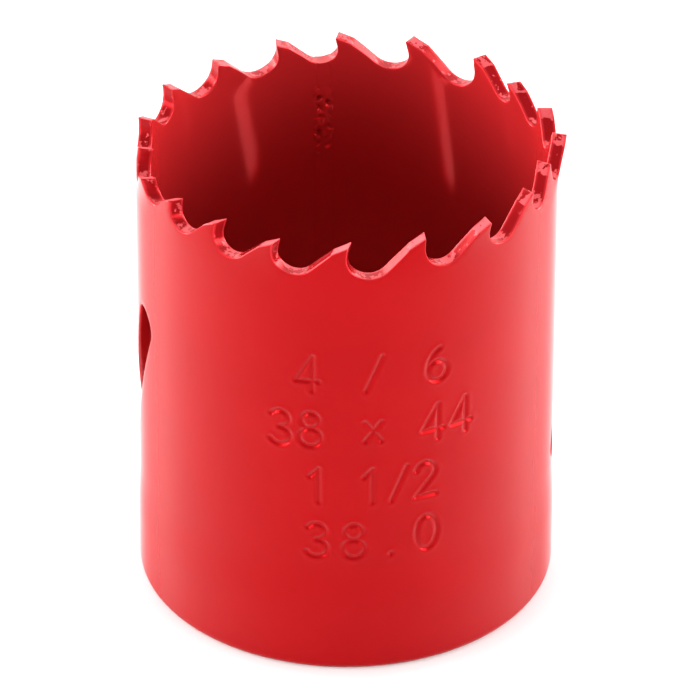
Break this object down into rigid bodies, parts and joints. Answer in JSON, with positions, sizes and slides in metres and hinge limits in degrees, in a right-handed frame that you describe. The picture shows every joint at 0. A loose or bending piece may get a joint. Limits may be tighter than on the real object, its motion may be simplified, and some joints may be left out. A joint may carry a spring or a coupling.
{
  "type": "hole saw",
  "caption": "Cup-shaped hole saw with a toothed rim, slanted side slots and a thick threaded end cap with drive-pin holes, painted all over.",
  "frame": {"origin": "centre of the end cap's outer face, on the saw's axis, where the saw stands", "axes": "+Z along the saw's axis, from the cap to the teeth; X through the two drive-pin holes"},
  "size_m": [0.0378, 0.0372, 0.0437],
  "materials": {
    "wall_paint": "glossy red paint with a fine orange-peel skin over rolled steel strip",
    "weld_paint": "the same red paint over a rippled weld bead",
    "cap_paint": "the same red paint over a turned steel disc"
  },
  "bodies": {
    "root": {"toothed_wall": "wall_paint", "seam_weld": "weld_paint", "end_cap": "cap_paint", "cap_weld": "weld_paint"}
  },
  "joints": []
}
